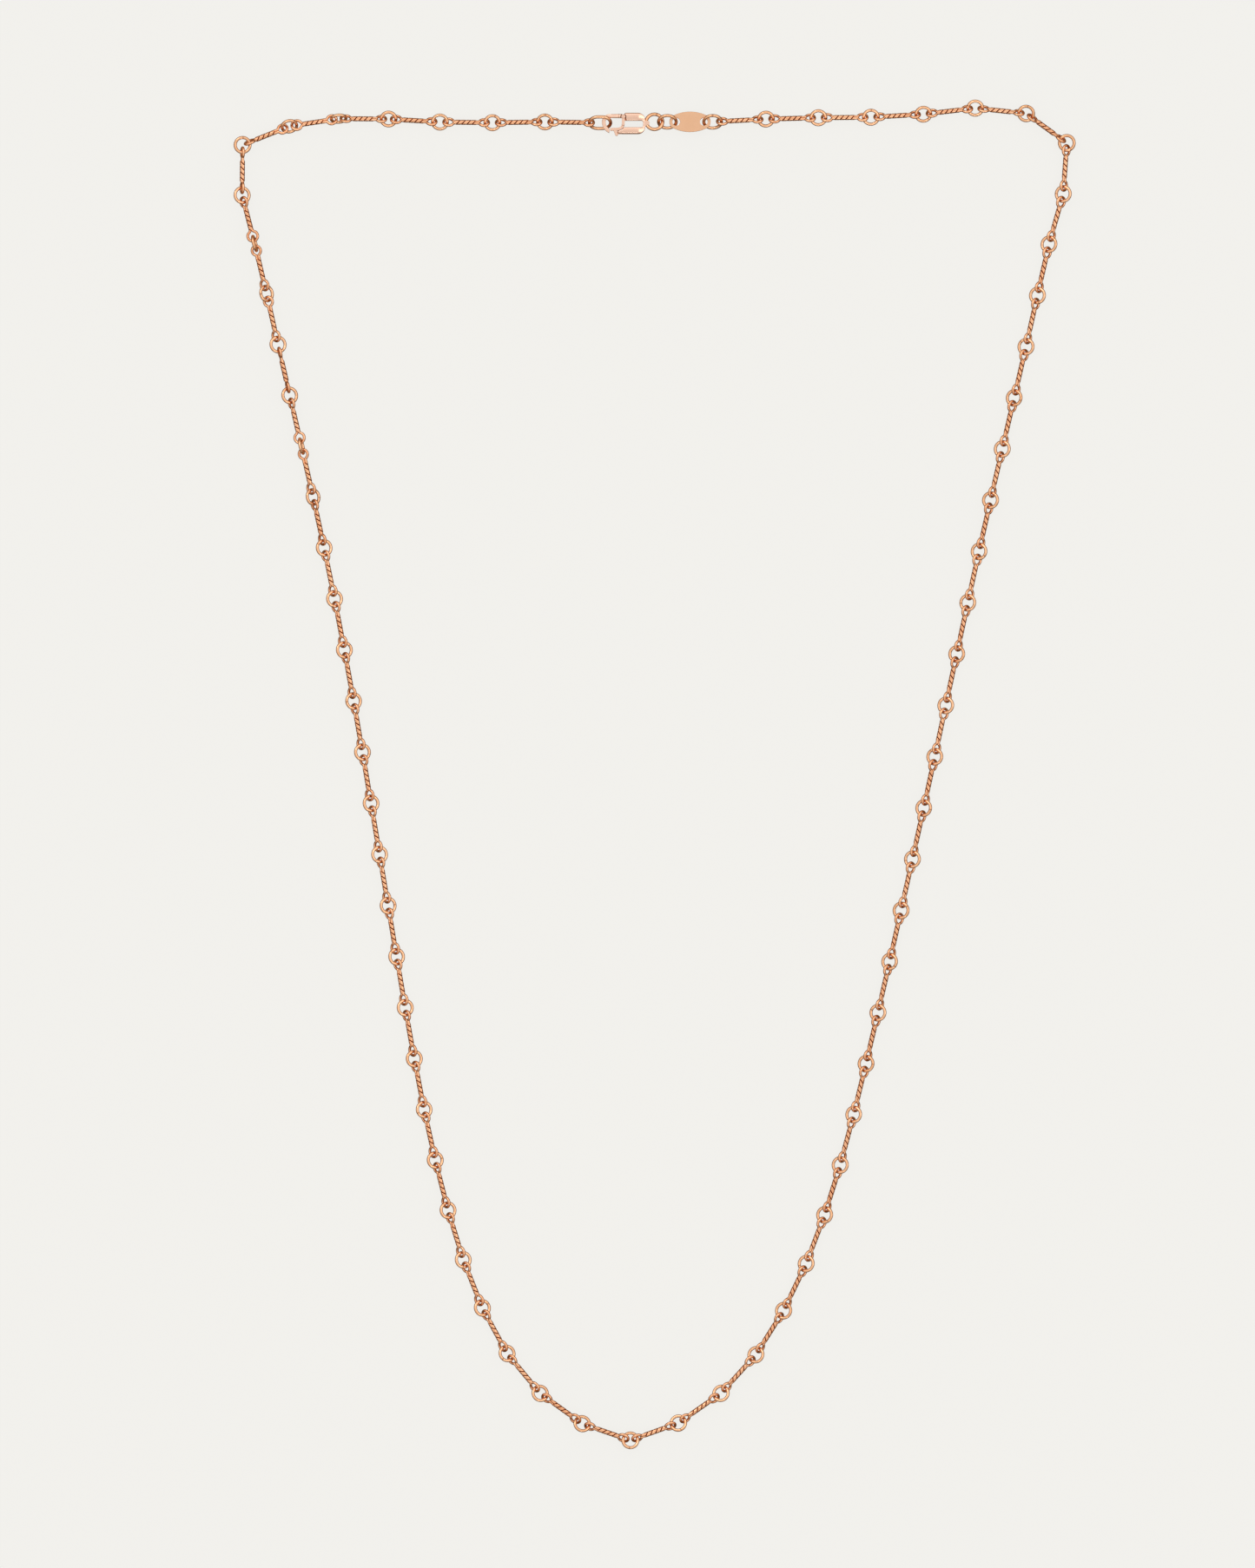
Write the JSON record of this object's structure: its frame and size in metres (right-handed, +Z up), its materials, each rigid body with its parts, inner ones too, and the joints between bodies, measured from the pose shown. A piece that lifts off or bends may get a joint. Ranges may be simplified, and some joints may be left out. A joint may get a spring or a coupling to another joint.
{
  "type": "twist chain necklace",
  "caption": "Long neck chain of twisted double-wire bars joined by round rings, with a trigger clasp and a blank oval tag.",
  "frame": {"origin": "centre of the closed, flat-lying chain's outline, on the surface that it lies on", "axes": "+X along the clasp towards its tag, +Y from the lowest ring to the clasp, +Z up from the surface"},
  "size_m": [0.1399, 0.2244, 0.003],
  "materials": {
    "twisted_wire": "polished rose gold",
    "ring_wire": "polished rose gold",
    "clasp_metal": "polished rose gold",
    "tag_metal": "satin rose gold"
  },
  "bodies": {
    "chain": {"twist_bars": "twisted_wire", "link_rings": "ring_wire", "jump_ring": "ring_wire", "clasp_body": "clasp_metal", "clasp_pin": "clasp_metal", "clasp_ring": "ring_wire", "clasp_tag_ring": "ring_wire", "chain_tag_ring": "ring_wire", "tag": "tag_metal"},
    "clasp_lever": {"clasp_lever": "clasp_metal"}
  },
  "joints": [
    {"name": "lever_hinge", "type": "hinge", "parent": "chain", "child": "clasp_lever", "pos_m": [-0.00517, 0.10927, 0.0014], "axis": [0, 0, 1], "range_deg": [0, 16], "stiffness_Nm_per_rad": 0.003, "springref_deg": -20.05}
  ]
}
